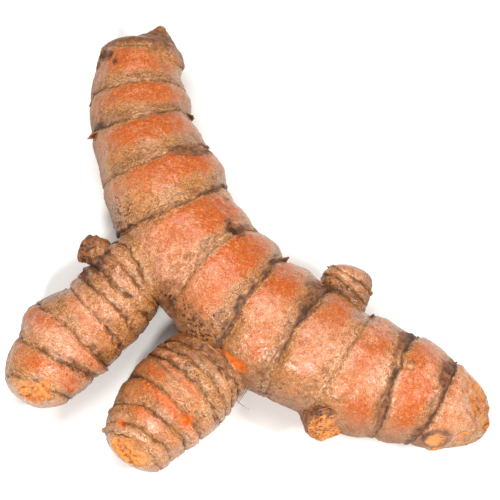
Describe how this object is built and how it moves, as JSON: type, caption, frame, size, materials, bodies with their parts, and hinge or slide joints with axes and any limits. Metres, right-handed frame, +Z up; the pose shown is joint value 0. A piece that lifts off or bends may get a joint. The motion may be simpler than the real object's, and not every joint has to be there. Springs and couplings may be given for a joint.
{
  "type": "turmeric rhizome",
  "caption": "Fresh turmeric rhizome with a bent ringed main axis, side fingers, a knob behind and cut shoot stubs.",
  "frame": {"origin": "on the table, under the middle of the box that holds the lying rhizome", "axes": "+Z up from the table, +X to the side where the main axis ends in its tip, +Y to the end where the old stem stood"},
  "size_m": [0.0944, 0.0937, 0.0243],
  "materials": {
    "skin": "satin"
  },
  "bodies": {
    "root": {"turmeric_rhizome": "skin"}
  },
  "joints": []
}
